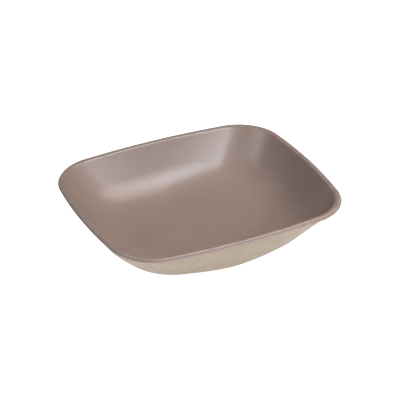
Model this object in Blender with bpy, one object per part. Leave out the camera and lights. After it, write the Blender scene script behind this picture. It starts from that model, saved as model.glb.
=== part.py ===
"""Shallow rounded-rectangular hospital dish, made of two nested mouldings.

inner_dish   the bowl that holds things, with the rolled rim and its
             turned-down bead
outer_shell  the paler under-bowl with the flat base; its top edge stands in
             the channel behind the bead

+Z is up and the long side lies along X. The origin is the centre of the flat
base, on the surface that the dish stands on.
"""
import math

import bmesh
import bpy
import numpy as np

MM = 0.001

# Outer edge of the rim, seen from above: two bowed ends, two bowed sides and
# four corner arcs.
HALF_LENGTH = 125.0 * MM
HALF_WIDTH = 107.0 * MM
CORNER_RADIUS = 48.5 * MM
END_BOW = 11.3 * MM
SIDE_BOW = 10.4 * MM

# Outside of the bowl at the middle of a long side: a straight wall, then a
# fillet down to the flat base.
HEIGHT = 50.0 * MM
WALL_TOP = 47.6 * MM
WALL_TOP_INSET = 2.1 * MM
WALL_ANGLE = math.radians(59.8)
BASE_FILLET = 19.0 * MM
BASE_HALF_LENGTH = 82.0 * MM
BASE_ROUNDNESS = 1.71

# Thicknesses, measured square to the wall.
SHELL_THICKNESS = 1.3 * MM
NESTING_GAP = 0.3 * MM
DISH_THICKNESS = 1.9 * MM
DISH_OUTSIDE = SHELL_THICKNESS + NESTING_GAP
DISH_INSIDE = DISH_OUTSIDE + DISH_THICKNESS

# Radius of the sweep from the bowl's wall to its floor. It is much wider than
# the base fillet, so the bowl stands clear of the shell there. RIM_PAD is the
# extra thickness of its wall towards the rim.
SWEEP_RADIUS = 45.0 * MM
RIM_PAD = 0.9 * MM

# Rim section: insets from the outer edge and drops from the top of the rim.
# A roll comes up from the inside wall to a slightly crowned top. A rounded
# shoulder turns the top down into a steep flank, which ends at a groove above
# the bead. The shell's top edge stands in the channel behind the bead.
CROWN_RADIUS = 6.2 * MM
CROWN_TILT = math.radians(8.0)
WALL_LAST_RUN = 3.0 * MM
ROLL_DROP = 1.3 * MM
ROLL_CORNER_DROP = 0.3 * MM
SHOULDER_INSET = 2.6 * MM
SHOULDER_RADIUS = 1.2 * MM
FLANK_TILT = math.radians(64.0)
FLANK_FOOT_INSET = 1.25 * MM
GROOVE_DROP = 2.1 * MM
BEAD_RADIUS = 0.8 * MM
BEAD_DROP = 2.95 * MM
BEAD_WRAP = math.radians(20.0)
CHANNEL_INSET = 1.9 * MM
CHANNEL_DROP = 2.2 * MM
SHELL_TOP_DROP = 2.6 * MM

# Steps round a quarter of the plan, and down the section.
END_STEPS = 4
CORNER_STEPS = 10
SIDE_STEPS = 5
WALL_STEPS = 4
FILLET_STEPS = 6
SWEEP_STEPS = 11
ROLL_STEPS = 4
CROWN_STEPS = 2
SHOULDER_STEPS = 3
BEAD_STEPS = 6

# Lengths down the outside of the section that follow from the sizes above.
WALL_DROP = WALL_TOP - BASE_FILLET * (1.0 - math.cos(WALL_ANGLE))
WALL_RUN = WALL_DROP / math.sin(WALL_ANGLE)
FILLET_RUN = BASE_FILLET * WALL_ANGLE
BASE_RUN = WALL_RUN + FILLET_RUN
WALL_FOOT_INSET = WALL_TOP_INSET + WALL_RUN * math.cos(WALL_ANGLE)
BASE_INSET = WALL_FOOT_INSET + BASE_FILLET * math.sin(WALL_ANGLE)
BASE_SPREAD = BASE_INSET - WALL_TOP_INSET

# Where the sweep of the bowl's inside starts and ends, and the centre of its arc.
SWEEP_HEIGHT = DISH_INSIDE + SWEEP_RADIUS
SWEEP_REACH = (SWEEP_HEIGHT - BASE_FILLET) * math.tan(WALL_ANGLE / 2.0)
SWEEP_TOP_RUN = WALL_RUN - SWEEP_REACH
SWEEP_FOOT_RUN = BASE_RUN + SWEEP_REACH
SWEEP_INSET = BASE_INSET + SWEEP_REACH

# Places of the rim's arcs and of the flank's foot that follow.
CROWN_INSET = SHOULDER_INSET + (CROWN_RADIUS - SHOULDER_RADIUS) * math.sin(CROWN_TILT)
SHOULDER_DROP = CROWN_RADIUS - (CROWN_RADIUS - SHOULDER_RADIUS) * math.cos(CROWN_TILT)
FLANK_RUN = SHOULDER_INSET - SHOULDER_RADIUS * math.sin(FLANK_TILT) - FLANK_FOOT_INSET
FLANK_TOP_DROP = SHOULDER_DROP - SHOULDER_RADIUS * math.cos(FLANK_TILT)
FLANK_FOOT_DROP = FLANK_TOP_DROP + FLANK_RUN * math.tan(FLANK_TILT)
QUARTER_TURN = math.pi / 2.0

DISH_COLOUR = (0.33, 0.26, 0.225, 1.0)
SHELL_COLOUR = (0.52, 0.43, 0.35, 1.0)
DISH_ROUGHNESS = 0.4
SHELL_ROUGHNESS = 0.5
SHARP_ANGLE = math.radians(50.0)


def arc_points(centre, radius, start, end, steps):
    """Points along an arc, both ends included, and the unit vectors out to them."""
    angles = np.linspace(start, end, steps + 1)
    outward = np.stack([np.cos(angles), np.sin(angles)], axis=1)
    return centre + radius * outward, outward


def corner_centre(end_centre, end_radius, side_centre, side_radius):
    """Centre of the corner arc that touches an end arc and a side arc from inside."""
    reach_end = end_radius - CORNER_RADIUS
    reach_side = side_radius - CORNER_RADIUS
    apart = np.linalg.norm(side_centre - end_centre)
    towards_side = (side_centre - end_centre) / apart
    along = (reach_end ** 2 - reach_side ** 2 + apart ** 2) / (2.0 * apart)
    across = math.sqrt(reach_end ** 2 - along ** 2)
    sideways = np.array([-towards_side[1], towards_side[0]])
    found = end_centre + along * towards_side + across * sideways
    if found.min() < 0.0:
        found = end_centre + along * towards_side - across * sideways
    return found


def all_quarters(quarter):
    """Mirror one quarter of the plan into the other three, each shared point once."""
    backwards = quarter[::-1]
    turns = [quarter, backwards * (-1.0, 1.0), -quarter, backwards * (1.0, -1.0)]
    return np.concatenate([turn[:-1] for turn in turns])


def rim_edge():
    """Outer edge of the rim, anticlockwise from +X, and its outward directions."""
    end_radius = (HALF_WIDTH ** 2 + END_BOW ** 2) / (2.0 * END_BOW)
    side_radius = (HALF_LENGTH ** 2 + SIDE_BOW ** 2) / (2.0 * SIDE_BOW)
    end_centre = np.array([HALF_LENGTH - end_radius, 0.0])
    side_centre = np.array([0.0, HALF_WIDTH - side_radius])
    corner = corner_centre(end_centre, end_radius, side_centre, side_radius)
    end_angle = math.atan2(corner[1] - end_centre[1], corner[0] - end_centre[0])
    side_angle = math.atan2(corner[1] - side_centre[1], corner[0] - side_centre[0])
    arcs = [
        arc_points(end_centre, end_radius, 0.0, end_angle, END_STEPS),
        arc_points(corner, CORNER_RADIUS, end_angle, side_angle, CORNER_STEPS),
        arc_points(side_centre, side_radius, side_angle, math.pi / 2.0, SIDE_STEPS),
    ]
    points = np.concatenate([arcs[0][0], arcs[1][0][1:], arcs[2][0][1:]])
    outward = np.concatenate([arcs[0][1], arcs[1][1][1:], arcs[2][1][1:]])
    return all_quarters(points), all_quarters(outward)


def base_edge(wall_edge):
    """Edge of the flat base: a superellipse, at the wall edge's own polar angles."""
    distance = np.linalg.norm(wall_edge, axis=1, keepdims=True)
    direction = wall_edge / distance
    half_sizes = np.array([BASE_HALF_LENGTH, HALF_WIDTH - BASE_INSET])
    powers = (np.abs(direction) / half_sizes) ** BASE_ROUNDNESS
    return direction * powers.sum(axis=1, keepdims=True) ** (-1.0 / BASE_ROUNDNESS)


RIM_EDGE, RIM_OUTWARD = rim_edge()
WALL_EDGE = RIM_EDGE - WALL_TOP_INSET * RIM_OUTWARD
BASE_EDGE = base_edge(WALL_EDGE)


def at_height(plan, height):
    """Give plan vectors one Z value."""
    return np.column_stack([plan, np.full(len(plan), height)])


def section(run):
    """Inset, height and slope of the outside, a given length down from the wall's top."""
    if run <= WALL_RUN:
        inset = WALL_TOP_INSET + run * math.cos(WALL_ANGLE)
        return inset, WALL_TOP - run * math.sin(WALL_ANGLE), WALL_ANGLE
    if run >= BASE_RUN:
        return BASE_INSET + run - BASE_RUN, 0.0, 0.0
    slope = (BASE_RUN - run) / BASE_FILLET
    inset = BASE_INSET - BASE_FILLET * math.sin(slope)
    return inset, BASE_FILLET * (1.0 - math.cos(slope)), slope


def wall_ring(run, depth):
    """Ring of the bowl: a length down from the wall's top, and a depth inside the outside."""
    inset, height, slope = section(run)
    share = (inset - WALL_TOP_INSET) / BASE_SPREAD
    points = at_height(WALL_EDGE * (1.0 - share) + BASE_EDGE * share, height)
    downhill = (BASE_EDGE - WALL_EDGE) * math.cos(slope) / BASE_SPREAD
    downhill = at_height(downhill, -math.sin(slope))
    along = np.roll(points, -1, axis=0) - np.roll(points, 1, axis=0)
    inward = np.cross(along, downhill)
    inward /= np.linalg.norm(inward, axis=1, keepdims=True)
    return points + depth * inward


def level_ring(drop, depth, taper=0.0):
    """Level ring on a straight wall, a drop below the rim's top.

    The depth is the one at the wall's top; half way to the sweep it is less by
    the taper.
    """
    upper = wall_ring(0.0, depth)
    lower = wall_ring(SWEEP_TOP_RUN / 2.0, depth - taper)
    share = (upper[:, 2:] - (HEIGHT - drop)) / (upper[:, 2:] - lower[:, 2:])
    return upper + share * (lower - upper)


def rim_ring(inset, drop):
    """Ring of the rim, parallel to its outer edge."""
    return at_height(RIM_EDGE - inset * RIM_OUTWARD, HEIGHT - drop)


def outside_runs():
    """Lengths down the section at which the wall below its top and the fillet have rings."""
    wall = np.linspace(0.0, WALL_RUN, WALL_STEPS + 1)[1:-1]
    return np.concatenate([wall, np.linspace(WALL_RUN, BASE_RUN, FILLET_STEPS + 1)])


def sweep_depth(run):
    """Extra depth of the bowl over the fillet, so that its inside is one wide arc."""
    inset, height, slope = section(run)
    centre = (SWEEP_INSET - inset, SWEEP_HEIGHT - height)
    along = centre[0] * math.sin(slope) + centre[1] * math.cos(slope)
    across = centre[0] * math.cos(slope) - centre[1] * math.sin(slope)
    return along - math.sqrt(SWEEP_RADIUS ** 2 - across ** 2) - DISH_INSIDE


def rim_pad(run):
    """Extra thickness of the dish's wall, none at the sweep and most at the rim."""
    return RIM_PAD * (1.0 - run / SWEEP_TOP_RUN) ** 2


def sweep_rings(depth):
    """Rings of the bowl round the sweep, from the floor up to the wall."""
    runs = np.linspace(SWEEP_FOOT_RUN, SWEEP_TOP_RUN, SWEEP_STEPS + 1)
    return [wall_ring(run, depth + sweep_depth(run)) for run in runs]


def inside_rings():
    """Inside of the bowl, from the floor round the sweep and up the wall."""
    runs = np.linspace(SWEEP_TOP_RUN, WALL_LAST_RUN, WALL_STEPS + 1)[1:]
    wall = [wall_ring(run, DISH_INSIDE + rim_pad(run)) for run in runs]
    return sweep_rings(DISH_INSIDE) + wall


def roll_rings():
    """Roll from the inside wall up to the crown, without the crown's own first ring."""
    top_depth = DISH_INSIDE + RIM_PAD
    wall = level_ring(ROLL_DROP, top_depth, RIM_PAD)
    corner = level_ring(ROLL_CORNER_DROP, top_depth, RIM_PAD)
    crown = crown_rings()[0]
    rings = []
    for share in np.linspace(0.0, 1.0, ROLL_STEPS + 1)[:-1]:
        rest = 1.0 - share
        rings.append(rest * rest * wall + 2.0 * rest * share * corner + share * share * crown)
    return rings


def rim_arc_rings(inset, drop, radius, start, end, steps):
    """Rings along an arc of the rim's section; angle 0 points out and 90 degrees up."""
    rings = []
    for angle in np.linspace(start, end, steps + 1):
        rings.append(rim_ring(inset - radius * math.cos(angle), drop - radius * math.sin(angle)))
    return rings


def crown_rings():
    """Slightly arched top of the rim, from its inner end to its outer end."""
    start, end = QUARTER_TURN + CROWN_TILT, QUARTER_TURN - CROWN_TILT
    return rim_arc_rings(CROWN_INSET, CROWN_RADIUS, CROWN_RADIUS, start, end, CROWN_STEPS)


def shoulder_rings():
    """Rounded shoulder from the crown down to the flank, without the crown's last ring."""
    start, end = QUARTER_TURN - CROWN_TILT, QUARTER_TURN - FLANK_TILT
    return rim_arc_rings(
        SHOULDER_INSET, SHOULDER_DROP, SHOULDER_RADIUS, start, end, SHOULDER_STEPS
    )[1:]


def bead_rings():
    """Half-round bead below the flank, from the groove round to its flat underside."""
    start, end = QUARTER_TURN + BEAD_WRAP, -QUARTER_TURN
    return rim_arc_rings(BEAD_RADIUS, BEAD_DROP, BEAD_RADIUS, start, end, BEAD_STEPS)


def inner_dish_rings():
    """Section of the dish: floor, inside wall, rim, channel, outside wall, underside."""
    rings = inside_rings() + roll_rings() + crown_rings() + shoulder_rings()
    rings.append(rim_ring(FLANK_FOOT_INSET, FLANK_FOOT_DROP))
    rings.append(rim_ring(FLANK_FOOT_INSET, GROOVE_DROP))
    rings += bead_rings()
    rings.append(rim_ring(CHANNEL_INSET, BEAD_DROP + BEAD_RADIUS))
    rings.append(rim_ring(CHANNEL_INSET, CHANNEL_DROP))
    rings.append(level_ring(CHANNEL_DROP, DISH_OUTSIDE))
    runs = np.linspace(0.0, SWEEP_TOP_RUN, WALL_STEPS + 1)[1:-1]
    rings += [wall_ring(run, DISH_OUTSIDE) for run in runs]
    rings += sweep_rings(DISH_OUTSIDE)[::-1]
    return rings


def outer_shell_rings():
    """Section of the shell: outside from the base up, then inside down to its floor."""
    rings = [wall_ring(run, 0.0) for run in reversed(outside_runs())]
    rings.append(level_ring(SHELL_TOP_DROP, 0.0))
    rings.append(level_ring(SHELL_TOP_DROP, SHELL_THICKNESS))
    rings += [wall_ring(run, SHELL_THICKNESS) for run in outside_runs()]
    return rings


def solid_from_rings(name, rings, colour, roughness):
    """Join rings in order with quads, cap the first and the last, and make a named object."""
    bm = bmesh.new()
    loops = [[bm.verts.new(point) for point in ring] for ring in rings]
    for near, far in zip(loops, loops[1:]):
        for step, vert in enumerate(near):
            bm.faces.new((near[step - 1], vert, far[step], far[step - 1]))
    bm.faces.new(loops[0])
    bm.faces.new(loops[-1])
    bmesh.ops.recalc_face_normals(bm, faces=bm.faces)
    mesh = bpy.data.meshes.new(name)
    bm.to_mesh(mesh)
    bm.free()
    mesh.shade_smooth()
    mesh.set_sharp_from_angle(angle=SHARP_ANGLE)
    mesh.materials.append(plastic(name, colour, roughness))
    piece = bpy.data.objects.new(name, mesh)
    bpy.context.collection.objects.link(piece)
    return piece


def plastic(name, colour, roughness):
    """Satin moulded plastic."""
    material = bpy.data.materials.new(name)
    material.use_nodes = True
    shader = material.node_tree.nodes["Principled BSDF"]
    shader.inputs["Base Color"].default_value = colour
    shader.inputs["Roughness"].default_value = roughness
    shader.inputs["Metallic"].default_value = 0.0
    return material


def main():
    for thing in list(bpy.data.objects):
        bpy.data.objects.remove(thing)
    dish = bpy.data.objects.new("dish", None)
    bpy.context.collection.objects.link(dish)
    pieces = [
        solid_from_rings("outer_shell", outer_shell_rings(), SHELL_COLOUR, SHELL_ROUGHNESS),
        solid_from_rings("inner_dish", inner_dish_rings(), DISH_COLOUR, DISH_ROUGHNESS),
    ]
    for piece in pieces:
        piece.parent = dish


main()
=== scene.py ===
"""Looks of the rounded-rectangular hospital dish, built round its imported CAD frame.

The two CAD nodes are replaced by finer skins of the same sections: dish_skin is
the taupe bowl with its rolled rim, shell_skin the paler under-bowl, and
mould_mark a plain row of raised pips on the floor of the bowl.
"""
import math

import bmesh
import bpy
import numpy as np
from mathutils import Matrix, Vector


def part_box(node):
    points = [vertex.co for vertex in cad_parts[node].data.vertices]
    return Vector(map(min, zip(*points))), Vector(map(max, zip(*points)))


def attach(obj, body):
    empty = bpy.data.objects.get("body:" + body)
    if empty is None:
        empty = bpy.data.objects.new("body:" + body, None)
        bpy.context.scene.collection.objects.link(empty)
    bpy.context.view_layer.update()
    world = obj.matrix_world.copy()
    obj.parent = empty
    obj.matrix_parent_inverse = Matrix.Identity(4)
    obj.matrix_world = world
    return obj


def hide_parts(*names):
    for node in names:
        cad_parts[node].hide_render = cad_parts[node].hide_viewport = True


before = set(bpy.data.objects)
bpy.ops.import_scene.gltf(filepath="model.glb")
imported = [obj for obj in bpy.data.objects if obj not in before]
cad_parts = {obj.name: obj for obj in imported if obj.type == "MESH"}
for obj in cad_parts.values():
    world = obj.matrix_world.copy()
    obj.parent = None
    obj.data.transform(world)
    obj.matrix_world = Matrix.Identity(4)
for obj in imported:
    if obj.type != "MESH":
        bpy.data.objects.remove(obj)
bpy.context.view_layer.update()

MM = 0.001

# The dish's overall size comes from the frame, the rest repeats the CAD section.
HALF_LENGTH, HALF_WIDTH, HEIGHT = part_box("inner_dish")[1]
CORNER_RADIUS = 48.5 * MM
END_BOW = 11.3 * MM
SIDE_BOW = 10.4 * MM
WALL_TOP = HEIGHT - 2.4 * MM
WALL_TOP_INSET = 2.1 * MM
WALL_ANGLE = math.radians(59.8)
BASE_FILLET = 19.0 * MM
BASE_HALF_LENGTH = 82.0 * MM
BASE_ROUNDNESS = 1.71

SHELL_THICKNESS = 1.3 * MM
DISH_OUTSIDE = 1.6 * MM
DISH_INSIDE = 3.5 * MM
SWEEP_RADIUS = 45.0 * MM
RIM_PAD = 0.9 * MM

# Rim section: insets from the outer edge and drops from the top of the rim.
# A roll comes up from the inside wall to a slightly crowned top. A rounded
# shoulder turns the top down into a steep flank, which ends at a groove above
# the bead. The shell's top edge stands in the channel behind the bead.
CROWN_RADIUS = 6.2 * MM
CROWN_TILT = math.radians(8.0)
WALL_LAST_RUN = 3.0 * MM
ROLL_DROP = 1.3 * MM
ROLL_CORNER_DROP = 0.3 * MM
SHOULDER_INSET = 2.6 * MM
SHOULDER_RADIUS = 1.2 * MM
FLANK_TILT = math.radians(64.0)
FLANK_FOOT_INSET = 1.25 * MM
GROOVE_DROP = 2.1 * MM
BEAD_RADIUS = 0.8 * MM
BEAD_DROP = 2.95 * MM
BEAD_WRAP = math.radians(20.0)
CHANNEL_INSET = 1.9 * MM
CHANNEL_DROP = 2.2 * MM
SHELL_TOP_DROP = 2.6 * MM

# Steps round a quarter of the plan and down the section, and the angle from which
# an edge of the skin is sharp.
END_STEPS = 12
CORNER_STEPS = 30
SIDE_STEPS = 14
WALL_STEPS = 10
FILLET_STEPS = 18
SWEEP_STEPS = 36
ROLL_STEPS = 14
CROWN_STEPS = 8
SHOULDER_STEPS = 10
BEAD_STEPS = 16
CREASE_ANGLE = math.radians(40.0)

WALL_DROP = WALL_TOP - BASE_FILLET * (1.0 - math.cos(WALL_ANGLE))
WALL_RUN = WALL_DROP / math.sin(WALL_ANGLE)
BASE_RUN = WALL_RUN + BASE_FILLET * WALL_ANGLE
WALL_FOOT_INSET = WALL_TOP_INSET + WALL_RUN * math.cos(WALL_ANGLE)
BASE_INSET = WALL_FOOT_INSET + BASE_FILLET * math.sin(WALL_ANGLE)
BASE_SPREAD = BASE_INSET - WALL_TOP_INSET

# Where the sweep of the bowl's inside starts and ends, and the centre of its arc.
SWEEP_HEIGHT = DISH_INSIDE + SWEEP_RADIUS
SWEEP_REACH = (SWEEP_HEIGHT - BASE_FILLET) * math.tan(WALL_ANGLE / 2.0)
SWEEP_TOP_RUN = WALL_RUN - SWEEP_REACH
SWEEP_FOOT_RUN = BASE_RUN + SWEEP_REACH
SWEEP_INSET = BASE_INSET + SWEEP_REACH

# Places of the rim's arcs and of the flank's foot that follow.
CROWN_INSET = SHOULDER_INSET + (CROWN_RADIUS - SHOULDER_RADIUS) * math.sin(CROWN_TILT)
SHOULDER_DROP = CROWN_RADIUS - (CROWN_RADIUS - SHOULDER_RADIUS) * math.cos(CROWN_TILT)
FLANK_RUN = SHOULDER_INSET - SHOULDER_RADIUS * math.sin(FLANK_TILT) - FLANK_FOOT_INSET
FLANK_TOP_DROP = SHOULDER_DROP - SHOULDER_RADIUS * math.cos(FLANK_TILT)
FLANK_FOOT_DROP = FLANK_TOP_DROP + FLANK_RUN * math.tan(FLANK_TILT)
QUARTER_TURN = math.pi / 2.0

# Row of raised pips on the floor.
PIP_COUNT = 5
PIP_SPACING = 5.2 * MM
PIP_WIDTH = 3.6 * MM
PIP_LENGTH = 7.5 * MM
PIP_RISE = 0.45 * MM
PIP_SINK = 0.2 * MM
PIP_SIDES = 24
PIP_STEPS = 4

# Tones of the two plastics: main, cloudy, speckle, and a lighter tone for the rim's top that is
# partly handling wear and partly a painted highlight on the crest.
DISH_TONES = (
    (0.251, 0.174, 0.142),
    (0.237, 0.167, 0.134),
    (0.205, 0.141, 0.114),
    (0.273, 0.193, 0.161),
)
SHELL_TONES = (
    (0.29, 0.214, 0.147),
    (0.276, 0.208, 0.14),
    (0.247, 0.175, 0.117),
    (0.31, 0.237, 0.166),
)
DISH_ROUGHNESS = (0.31, 0.35)
SHELL_ROUGHNESS = (0.42, 0.55)
DISH_GRAIN = 0.1
SHELL_GRAIN = 0.2

# The plastics' noises: scales in cycles per metre, detail, and the ranges used.
CLOUD_SCALE = 22.0
CLOUD_DETAIL = 2.0
CLOUD_RANGE = (0.35, 0.65)
SPECKLE_SCALE = 520.0
SPECKLE_DETAIL = 3.0
SPECKLE_RANGE = (0.5, 0.75)
SPECKLE_SHARE = 0.4
RUB_SCALE = 90.0
RUB_DETAIL = 4.0
RUB_STRETCH = (1.0, 1.6, 1.3)
RUB_RANGE = (0.3, 0.7)
GRAIN_SCALE = 1900.0
GRAIN_DETAIL = 2.0
GRAIN_HEIGHT = 0.08 * MM

# How far down from the rim's top the lighter tone reaches, partly handling marks and partly a
# painted highlight, and the share of the roughness that handling has polished away at the top.
WEAR_AND_HIGHLIGHT_DEPTH = 3.0 * MM
RIM_POLISH = 0.5


def arc_points(centre, radius, start, end, steps):
    """Points along an arc, both ends included, and the unit vectors out to them."""
    angles = np.linspace(start, end, steps + 1)
    outward = np.stack([np.cos(angles), np.sin(angles)], axis=1)
    return centre + radius * outward, outward


def corner_centre(end_centre, end_radius, side_centre, side_radius):
    """Centre of the corner arc that touches an end arc and a side arc from inside."""
    reach_end = end_radius - CORNER_RADIUS
    reach_side = side_radius - CORNER_RADIUS
    apart = np.linalg.norm(side_centre - end_centre)
    towards_side = (side_centre - end_centre) / apart
    along = (reach_end ** 2 - reach_side ** 2 + apart ** 2) / (2.0 * apart)
    across = math.sqrt(reach_end ** 2 - along ** 2)
    sideways = np.array([-towards_side[1], towards_side[0]])
    found = end_centre + along * towards_side + across * sideways
    if found.min() < 0.0:
        found = end_centre + along * towards_side - across * sideways
    return found


def all_quarters(quarter):
    """Mirror one quarter of the plan into the other three, each shared point once."""
    backwards = quarter[::-1]
    turns = [quarter, backwards * (-1.0, 1.0), -quarter, backwards * (1.0, -1.0)]
    return np.concatenate([turn[:-1] for turn in turns])


def rim_edge():
    """Outer edge of the rim, anticlockwise from +X, and its outward directions."""
    end_radius = (HALF_WIDTH ** 2 + END_BOW ** 2) / (2.0 * END_BOW)
    side_radius = (HALF_LENGTH ** 2 + SIDE_BOW ** 2) / (2.0 * SIDE_BOW)
    end_centre = np.array([HALF_LENGTH - end_radius, 0.0])
    side_centre = np.array([0.0, HALF_WIDTH - side_radius])
    corner = corner_centre(end_centre, end_radius, side_centre, side_radius)
    end_angle = math.atan2(corner[1] - end_centre[1], corner[0] - end_centre[0])
    side_angle = math.atan2(corner[1] - side_centre[1], corner[0] - side_centre[0])
    arcs = [
        arc_points(end_centre, end_radius, 0.0, end_angle, END_STEPS),
        arc_points(corner, CORNER_RADIUS, end_angle, side_angle, CORNER_STEPS),
        arc_points(side_centre, side_radius, side_angle, QUARTER_TURN, SIDE_STEPS),
    ]
    points = np.concatenate([arcs[0][0], arcs[1][0][1:], arcs[2][0][1:]])
    outward = np.concatenate([arcs[0][1], arcs[1][1][1:], arcs[2][1][1:]])
    return all_quarters(points), all_quarters(outward)


def base_edge(wall_edge):
    """Edge of the flat base: a superellipse, at the wall edge's own polar angles."""
    distance = np.linalg.norm(wall_edge, axis=1, keepdims=True)
    direction = wall_edge / distance
    half_sizes = np.array([BASE_HALF_LENGTH, HALF_WIDTH - BASE_INSET])
    powers = (np.abs(direction) / half_sizes) ** BASE_ROUNDNESS
    return direction * powers.sum(axis=1, keepdims=True) ** (-1.0 / BASE_ROUNDNESS)


RIM_EDGE, RIM_OUTWARD = rim_edge()
WALL_EDGE = RIM_EDGE - WALL_TOP_INSET * RIM_OUTWARD
BASE_EDGE = base_edge(WALL_EDGE)


def at_height(plan, height):
    """Give plan vectors one Z value."""
    return np.column_stack([plan, np.full(len(plan), height)])


def section(run):
    """Inset, height and slope of the outside, a given length down from the wall's top."""
    if run <= WALL_RUN:
        inset = WALL_TOP_INSET + run * math.cos(WALL_ANGLE)
        return inset, WALL_TOP - run * math.sin(WALL_ANGLE), WALL_ANGLE
    if run >= BASE_RUN:
        return BASE_INSET + run - BASE_RUN, 0.0, 0.0
    slope = (BASE_RUN - run) / BASE_FILLET
    inset = BASE_INSET - BASE_FILLET * math.sin(slope)
    return inset, BASE_FILLET * (1.0 - math.cos(slope)), slope


def wall_ring(run, depth):
    """Ring of the bowl: a length down from the wall's top, and a depth inside the outside."""
    inset, height, slope = section(run)
    share = (inset - WALL_TOP_INSET) / BASE_SPREAD
    points = at_height(WALL_EDGE * (1.0 - share) + BASE_EDGE * share, height)
    downhill = (BASE_EDGE - WALL_EDGE) * math.cos(slope) / BASE_SPREAD
    downhill = at_height(downhill, -math.sin(slope))
    along = np.roll(points, -1, axis=0) - np.roll(points, 1, axis=0)
    inward = np.cross(along, downhill)
    inward /= np.linalg.norm(inward, axis=1, keepdims=True)
    return points + depth * inward


def level_ring(drop, depth, taper=0.0):
    """Level ring on a straight wall, a drop below the rim's top.

    The depth is the one at the wall's top; half way to the sweep it is less by
    the taper.
    """
    upper = wall_ring(0.0, depth)
    lower = wall_ring(SWEEP_TOP_RUN / 2.0, depth - taper)
    share = (upper[:, 2:] - (HEIGHT - drop)) / (upper[:, 2:] - lower[:, 2:])
    return upper + share * (lower - upper)


def rim_ring(inset, drop):
    """Ring of the rim, parallel to its outer edge."""
    return at_height(RIM_EDGE - inset * RIM_OUTWARD, HEIGHT - drop)


def outside_runs():
    """Lengths down the section at which the wall below its top and the fillet have rings."""
    wall = np.linspace(0.0, WALL_RUN, WALL_STEPS + 1)[1:-1]
    return np.concatenate([wall, np.linspace(WALL_RUN, BASE_RUN, FILLET_STEPS + 1)])


def sweep_depth(run):
    """Extra depth of the bowl over the fillet, so that its inside is one wide arc."""
    inset, height, slope = section(run)
    centre = (SWEEP_INSET - inset, SWEEP_HEIGHT - height)
    along = centre[0] * math.sin(slope) + centre[1] * math.cos(slope)
    across = centre[0] * math.cos(slope) - centre[1] * math.sin(slope)
    return along - math.sqrt(SWEEP_RADIUS ** 2 - across ** 2) - DISH_INSIDE


def rim_pad(run):
    """Extra thickness of the dish's wall, none at the sweep and most at the rim."""
    return RIM_PAD * (1.0 - run / SWEEP_TOP_RUN) ** 2


def sweep_rings(depth):
    """Rings of the bowl round the sweep, from the floor up to the wall."""
    runs = np.linspace(SWEEP_FOOT_RUN, SWEEP_TOP_RUN, SWEEP_STEPS + 1)
    return [wall_ring(run, depth + sweep_depth(run)) for run in runs]


def inside_rings():
    """Inside of the bowl, from the floor round the sweep and up the wall."""
    runs = np.linspace(SWEEP_TOP_RUN, WALL_LAST_RUN, WALL_STEPS + 1)[1:]
    wall = [wall_ring(run, DISH_INSIDE + rim_pad(run)) for run in runs]
    return sweep_rings(DISH_INSIDE) + wall


def roll_rings():
    """Roll from the inside wall up to the crown, without the crown's own first ring."""
    top_depth = DISH_INSIDE + RIM_PAD
    wall = level_ring(ROLL_DROP, top_depth, RIM_PAD)
    corner = level_ring(ROLL_CORNER_DROP, top_depth, RIM_PAD)
    crown = crown_rings()[0]
    rings = []
    for share in np.linspace(0.0, 1.0, ROLL_STEPS + 1)[:-1]:
        rest = 1.0 - share
        rings.append(rest * rest * wall + 2.0 * rest * share * corner + share * share * crown)
    return rings


def rim_arc_rings(inset, drop, radius, start, end, steps):
    """Rings along an arc of the rim's section; angle 0 points out and 90 degrees up."""
    rings = []
    for angle in np.linspace(start, end, steps + 1):
        rings.append(rim_ring(inset - radius * math.cos(angle), drop - radius * math.sin(angle)))
    return rings


def crown_rings():
    """Slightly arched top of the rim, from its inner end to its outer end."""
    start, end = QUARTER_TURN + CROWN_TILT, QUARTER_TURN - CROWN_TILT
    return rim_arc_rings(CROWN_INSET, CROWN_RADIUS, CROWN_RADIUS, start, end, CROWN_STEPS)


def shoulder_rings():
    """Rounded shoulder from the crown down to the flank, without the crown's last ring."""
    start, end = QUARTER_TURN - CROWN_TILT, QUARTER_TURN - FLANK_TILT
    return rim_arc_rings(
        SHOULDER_INSET, SHOULDER_DROP, SHOULDER_RADIUS, start, end, SHOULDER_STEPS
    )[1:]


def bead_rings():
    """Half-round bead below the flank, from the groove round to its flat underside."""
    start, end = QUARTER_TURN + BEAD_WRAP, -QUARTER_TURN
    return rim_arc_rings(BEAD_RADIUS, BEAD_DROP, BEAD_RADIUS, start, end, BEAD_STEPS)


def dish_rings():
    """Section of the dish: floor, inside wall, rim, channel, outside wall, underside."""
    rings = inside_rings() + roll_rings() + crown_rings() + shoulder_rings()
    rings.append(rim_ring(FLANK_FOOT_INSET, FLANK_FOOT_DROP))
    rings.append(rim_ring(FLANK_FOOT_INSET, GROOVE_DROP))
    rings += bead_rings()
    rings.append(rim_ring(CHANNEL_INSET, BEAD_DROP + BEAD_RADIUS))
    rings.append(rim_ring(CHANNEL_INSET, CHANNEL_DROP))
    rings.append(level_ring(CHANNEL_DROP, DISH_OUTSIDE))
    runs = np.linspace(0.0, SWEEP_TOP_RUN, WALL_STEPS + 1)[1:-1]
    rings += [wall_ring(run, DISH_OUTSIDE) for run in runs]
    rings += sweep_rings(DISH_OUTSIDE)[::-1]
    return rings


def shell_rings():
    """Section of the shell: outside from the base up, then inside down to its floor."""
    rings = [wall_ring(run, 0.0) for run in reversed(outside_runs())]
    rings.append(level_ring(SHELL_TOP_DROP, 0.0))
    rings.append(level_ring(SHELL_TOP_DROP, SHELL_THICKNESS))
    rings += [wall_ring(run, SHELL_THICKNESS) for run in outside_runs()]
    return rings


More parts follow.
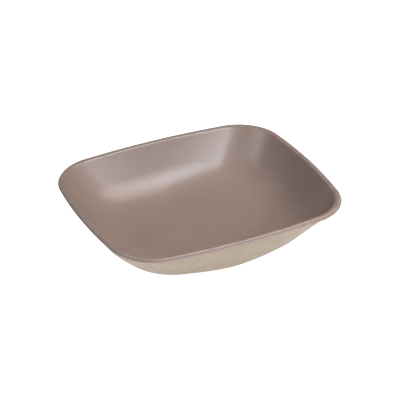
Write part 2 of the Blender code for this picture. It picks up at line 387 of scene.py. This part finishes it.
def skin_from_rings(name, rings, material):
    """Join rings in order with quads, cap the ends, and make a smooth named object."""
    bm = bmesh.new()
    loops = [[bm.verts.new(point) for point in ring] for ring in rings]
    for near, far in zip(loops, loops[1:]):
        for step, vert in enumerate(near):
            bm.faces.new((near[step - 1], vert, far[step], far[step - 1]))
    bm.faces.new(loops[0])
    bm.faces.new(loops[-1])
    bmesh.ops.recalc_face_normals(bm, faces=bm.faces)
    mesh = bpy.data.meshes.new(name)
    bm.to_mesh(mesh)
    bm.free()
    mesh.shade_smooth()
    mesh.set_sharp_from_angle(angle=CREASE_ANGLE)
    mesh.materials.append(material)
    piece = bpy.data.objects.new(name, mesh)
    bpy.context.collection.objects.link(piece)
    return piece


def scaled_noise(nodes, links, place, scale, detail, stretch=(1.0, 1.0, 1.0)):
    """Noise over the object's own coordinates; the scale is cycles per metre."""
    mapping = nodes.new("ShaderNodeMapping")
    mapping.inputs["Scale"].default_value = stretch
    links.new(place, mapping.inputs["Vector"])
    noise = nodes.new("ShaderNodeTexNoise")
    noise.inputs["Scale"].default_value = scale
    noise.inputs["Detail"].default_value = detail
    links.new(mapping.outputs["Vector"], noise.inputs["Vector"])
    return noise.outputs["Fac"]


def map_range(nodes, links, value, source, target):
    """Map a value from one range to another, smoothly."""
    node = nodes.new("ShaderNodeMapRange")
    node.interpolation_type = "SMOOTHSTEP"
    node.inputs["From Min"].default_value, node.inputs["From Max"].default_value = source
    node.inputs["To Min"].default_value, node.inputs["To Max"].default_value = target
    links.new(value, node.inputs["Value"])
    return node.outputs["Result"]


def multiply(nodes, links, first, second):
    """Product of two values."""
    node = nodes.new("ShaderNodeMath")
    node.operation = "MULTIPLY"
    links.new(first, node.inputs[0])
    links.new(second, node.inputs[1])
    return node.outputs["Value"]


def mix_colours(nodes, links, share, first, second):
    """Mix two colours, each given as a number triple or as a socket.

    Sockets 6 and 7 are the node's two colours, and output 2 is its mixed colour.
    """
    node = nodes.new("ShaderNodeMix")
    node.data_type = "RGBA"
    links.new(share, node.inputs["Factor"])
    for colour, socket in zip((first, second), (node.inputs[6], node.inputs[7])):
        if isinstance(colour, tuple):
            socket.default_value = (*colour, 1.0)
        else:
            links.new(colour, socket)
    return node.outputs[2]


def satin_plastic(name, tones, roughness, grain):
    """Satin moulded plastic.

    The tones are main, cloudy, speckle, and a lighter tone for the rim's top that is partly wear
    and partly a painted highlight;
    the roughness is a range from rubbed to untouched, and the grain is the strength of the fine
    texture.
    """
    main, cloudy, speckle, wear_and_highlight_tone = tones
    material = bpy.data.materials.new(name)
    material.use_nodes = True
    nodes, links = material.node_tree.nodes, material.node_tree.links
    shader = nodes["Principled BSDF"]
    place = nodes.new("ShaderNodeTexCoord").outputs["Object"]

    cloud = scaled_noise(nodes, links, place, CLOUD_SCALE, CLOUD_DETAIL)
    speck = scaled_noise(nodes, links, place, SPECKLE_SCALE, SPECKLE_DETAIL)
    rub = scaled_noise(nodes, links, place, RUB_SCALE, RUB_DETAIL, RUB_STRETCH)
    fine = scaled_noise(nodes, links, place, GRAIN_SCALE, GRAIN_DETAIL)
    height = nodes.new("ShaderNodeSeparateXYZ")
    links.new(place, height.inputs["Vector"])
    near_top = (HEIGHT - WEAR_AND_HIGHLIGHT_DEPTH, HEIGHT)
    top = map_range(nodes, links, height.outputs["Z"], near_top, (0.0, 1.0))
    patches = map_range(nodes, links, rub, RUB_RANGE, (0.0, 1.0))
    # Mask for the lighter tone at the rim's top: handling patches, and also a painted highlight
    # along the crest.
    wear_and_highlight_mask = multiply(nodes, links, top, patches)

    clouds = map_range(nodes, links, cloud, CLOUD_RANGE, (0.0, 1.0))
    colour = mix_colours(nodes, links, clouds, main, cloudy)
    specks = map_range(nodes, links, speck, SPECKLE_RANGE, (0.0, SPECKLE_SHARE))
    colour = mix_colours(nodes, links, specks, colour, speckle)
    # Lighten the rim's top: partly handling wear, partly a painted highlight.
    colour = mix_colours(nodes, links, wear_and_highlight_mask, colour, wear_and_highlight_tone)
    links.new(colour, shader.inputs["Base Color"])
    rough = map_range(nodes, links, rub, RUB_RANGE, roughness)
    polish = map_range(nodes, links, top, (0.0, 1.0), (1.0, 1.0 - RIM_POLISH))
    links.new(multiply(nodes, links, rough, polish), shader.inputs["Roughness"])

    bump = nodes.new("ShaderNodeBump")
    bump.inputs["Strength"].default_value = grain
    bump.inputs["Distance"].default_value = GRAIN_HEIGHT
    links.new(fine, bump.inputs["Height"])
    links.new(bump.outputs["Normal"], shader.inputs["Normal"])
    return material


# Each light: azimuth from the front and elevation in degrees, width and height in
# metres, power in watts, and colour. All stand at one distance, in metres.
LIGHT_DISTANCE = 1.6
WHITE = (1.0, 1.0, 1.0, 1.0)
COOL = (0.85, 0.92, 1.0)
WARM = (1.0, 0.88, 0.72)
LIGHTS = {
    "key": (37.0, 58.0, 0.9, 0.5, 15.2, COOL),
    "key_side": (42.0, 44.0, 0.6, 0.34, 4.2, COOL),
    "key_front": (14.0, 44.0, 0.5, 0.42, 4.6, COOL),
    "front": (-6.0, 35.0, 0.4, 0.36, 7.6, COOL),
    "front_low": (-14.0, 22.0, 0.3, 0.3, 0.8, COOL),
    "front_side": (30.0, 30.0, 0.45, 0.36, 1.6, COOL),
    "left": (270.0, 40.0, 0.8, 0.8, 8.4, COOL),
    "right": (84.0, 52.0, 0.6, 0.7, 6.8, WARM),
    "back": (180.0, 78.0, 0.6, 0.6, 0.4, COOL),
}
WORLD_STRENGTH = 0.05

# The floor lies a hair under the base, so that the two faces don't coincide.
FLOOR_REACH = 6.0
FLOOR_GAP = 0.05 * MM
FLOOR_TONE = (0.5, 0.5, 0.5, 1.0)
FLOOR_ROUGHNESS = 0.8
FLOOR_GLOW = 0.92


def area_light(name, direction, width, height, power, colour):
    """Soft rectangular light that looks at the dish from a direction."""
    data = bpy.data.lights.new(name, "AREA")
    data.shape = "RECTANGLE"
    data.size = width
    data.size_y = height
    data.energy = power
    data.color = colour
    light = bpy.data.objects.new(name, data)
    bpy.context.collection.objects.link(light)
    light.location = direction * LIGHT_DISTANCE
    light.rotation_mode = "QUATERNION"
    light.rotation_quaternion = direction.to_track_quat("Z", "Y")


def make_lights():
    """Soft lights round the dish, all at one distance."""
    for name, (azimuth, elevation, width, height, power, colour) in LIGHTS.items():
        turn, tilt = math.radians(azimuth), math.radians(elevation)
        level = math.cos(tilt)
        direction = Vector((math.sin(turn) * level, -math.cos(turn) * level, math.sin(tilt)))
        area_light(name, direction, width, height, power, colour)


def make_floor():
    """Plain pale floor under the dish."""
    bm = bmesh.new()
    bmesh.ops.create_grid(bm, x_segments=1, y_segments=1, size=FLOOR_REACH)
    mesh = bpy.data.meshes.new("floor")
    bm.to_mesh(mesh)
    bm.free()
    material = bpy.data.materials.new("floor")
    material.use_nodes = True
    shader = material.node_tree.nodes["Principled BSDF"]
    shader.inputs["Base Color"].default_value = FLOOR_TONE
    shader.inputs["Roughness"].default_value = FLOOR_ROUGHNESS
    shader.inputs["Emission Color"].default_value = WHITE
    shader.inputs["Emission Strength"].default_value = FLOOR_GLOW
    mesh.materials.append(material)
    floor = bpy.data.objects.new("floor", mesh)
    floor.location.z = -FLOOR_GAP
    bpy.context.collection.objects.link(floor)


def make_world():
    """Even white surroundings."""
    world = bpy.data.worlds.new("studio")
    world.use_nodes = True
    background = world.node_tree.nodes["Background"]
    background.inputs["Color"].default_value = WHITE
    background.inputs["Strength"].default_value = WORLD_STRENGTH
    bpy.context.scene.world = world


# The camera's direction and distance from the point that it looks at, which is
# given as a height over the middle of the dish and shifts across and down the view.
CAMERA_AZIMUTH = math.radians(-26.37)
CAMERA_ELEVATION = math.radians(31.21)
CAMERA_DISTANCE = 1.8366
CAMERA_LENS = 169.3
SENSOR_WIDTH = 36.0
NEAREST_SEEN = 50.0 * MM
AIM_HEIGHT = 47.4 * MM
AIM_RIGHT = 1.19 * MM
AIM_DOWN = 9.88 * MM


def make_camera():
    """Long lens, looking down on the dish from in front and to the left."""
    azimuth, elevation = CAMERA_AZIMUTH, CAMERA_ELEVATION
    level = math.cos(elevation)
    back = Vector((math.sin(azimuth) * level, -math.cos(azimuth) * level, math.sin(elevation)))
    right = Vector((math.cos(azimuth), math.sin(azimuth), 0.0))
    up = back.cross(right)
    data = bpy.data.cameras.new("camera")
    data.lens = CAMERA_LENS
    data.sensor_width = SENSOR_WIDTH
    data.clip_start = NEAREST_SEEN
    camera = bpy.data.objects.new("camera", data)
    bpy.context.collection.objects.link(camera)
    aim = Vector((0.0, 0.0, AIM_HEIGHT)) + AIM_RIGHT * right - AIM_DOWN * up
    camera.location = aim + CAMERA_DISTANCE * back
    camera.rotation_mode = "QUATERNION"
    camera.rotation_quaternion = back.to_track_quat("Z", "Y")
    bpy.context.scene.camera = camera


def pip_ring(bm, centre, share, height):
    """Oval ring of a pip, at a share of its full width and length."""
    across, along = share * PIP_WIDTH / 2.0, share * PIP_LENGTH / 2.0
    turns = np.linspace(0.0, 2.0 * math.pi, PIP_SIDES + 1)[:-1]
    return [
        bm.verts.new((centre + across * math.cos(turn), along * math.sin(turn), height))
        for turn in turns
    ]


def add_pip(bm, centre):
    """Low oval dome on the bowl's floor, sunk a little into it."""
    lower = pip_ring(bm, centre, 1.0, DISH_INSIDE - PIP_SINK)
    bm.faces.new(lower[::-1])
    for tilt in np.linspace(0.0, QUARTER_TURN, PIP_STEPS + 1)[:-1]:
        height = DISH_INSIDE + PIP_RISE * math.sin(tilt)
        upper = pip_ring(bm, centre, math.cos(tilt), height)
        for step, vert in enumerate(lower):
            bm.faces.new((lower[step - 1], vert, upper[step], upper[step - 1]))
        lower = upper
    bm.faces.new(lower)


def mould_mark(material):
    """Plain row of low oval pips along the middle of the bowl's floor."""
    bm = bmesh.new()
    for step in range(PIP_COUNT):
        add_pip(bm, (step - (PIP_COUNT - 1) / 2.0) * PIP_SPACING)
    mesh = bpy.data.meshes.new("mould_mark")
    bm.to_mesh(mesh)
    bm.free()
    mesh.shade_smooth()
    mesh.materials.append(material)
    mark = bpy.data.objects.new("mould_mark", mesh)
    bpy.context.collection.objects.link(mark)
    return mark


def make_dish():
    """Both mouldings and the mark, each with its plastic."""
    dish_plastic = satin_plastic("dish_plastic", DISH_TONES, DISH_ROUGHNESS, DISH_GRAIN)
    shell_plastic = satin_plastic("shell_plastic", SHELL_TONES, SHELL_ROUGHNESS, SHELL_GRAIN)
    dish = skin_from_rings("dish_skin", dish_rings(), dish_plastic)
    shell = skin_from_rings("shell_skin", shell_rings(), shell_plastic)
    mark = mould_mark(dish_plastic)
    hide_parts("inner_dish")
    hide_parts("outer_shell")
    slots = {dish: "dish_plastic", mark: "dish_plastic", shell: "shell_plastic"}
    for piece, slot in slots.items():
        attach(piece, "root")


bpy.context.scene.view_settings.view_transform = "Standard"
make_dish()
make_floor()
make_world()
make_lights()
make_camera()
